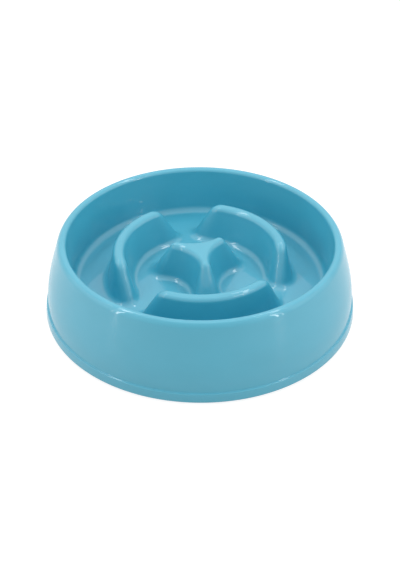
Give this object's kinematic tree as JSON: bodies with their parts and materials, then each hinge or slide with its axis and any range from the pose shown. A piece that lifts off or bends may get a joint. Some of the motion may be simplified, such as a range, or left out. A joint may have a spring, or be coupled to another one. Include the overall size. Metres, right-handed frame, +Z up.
{
  "type": "slow feeder bowl",
  "caption": "Round pet bowl with a base band, arc-shaped ridges round a star in its basin, hollow underneath and standing on small push-in feet.",
  "frame": {"origin": "on the table, under the middle of the bowl", "axes": "+Z up, -Y towards the front that the picture shows, +X to its right"},
  "size_m": [0.24, 0.24, 0.06],
  "materials": {
    "bowl": "glossy, even blue, moulded",
    "feet": "matte, dark grey"
  },
  "bodies": {
    "root": {"bowl": "bowl", "foot_front_left": "feet", "foot_front_right": "feet", "foot_rear_left": "feet", "foot_rear_right": "feet"}
  },
  "joints": []
}
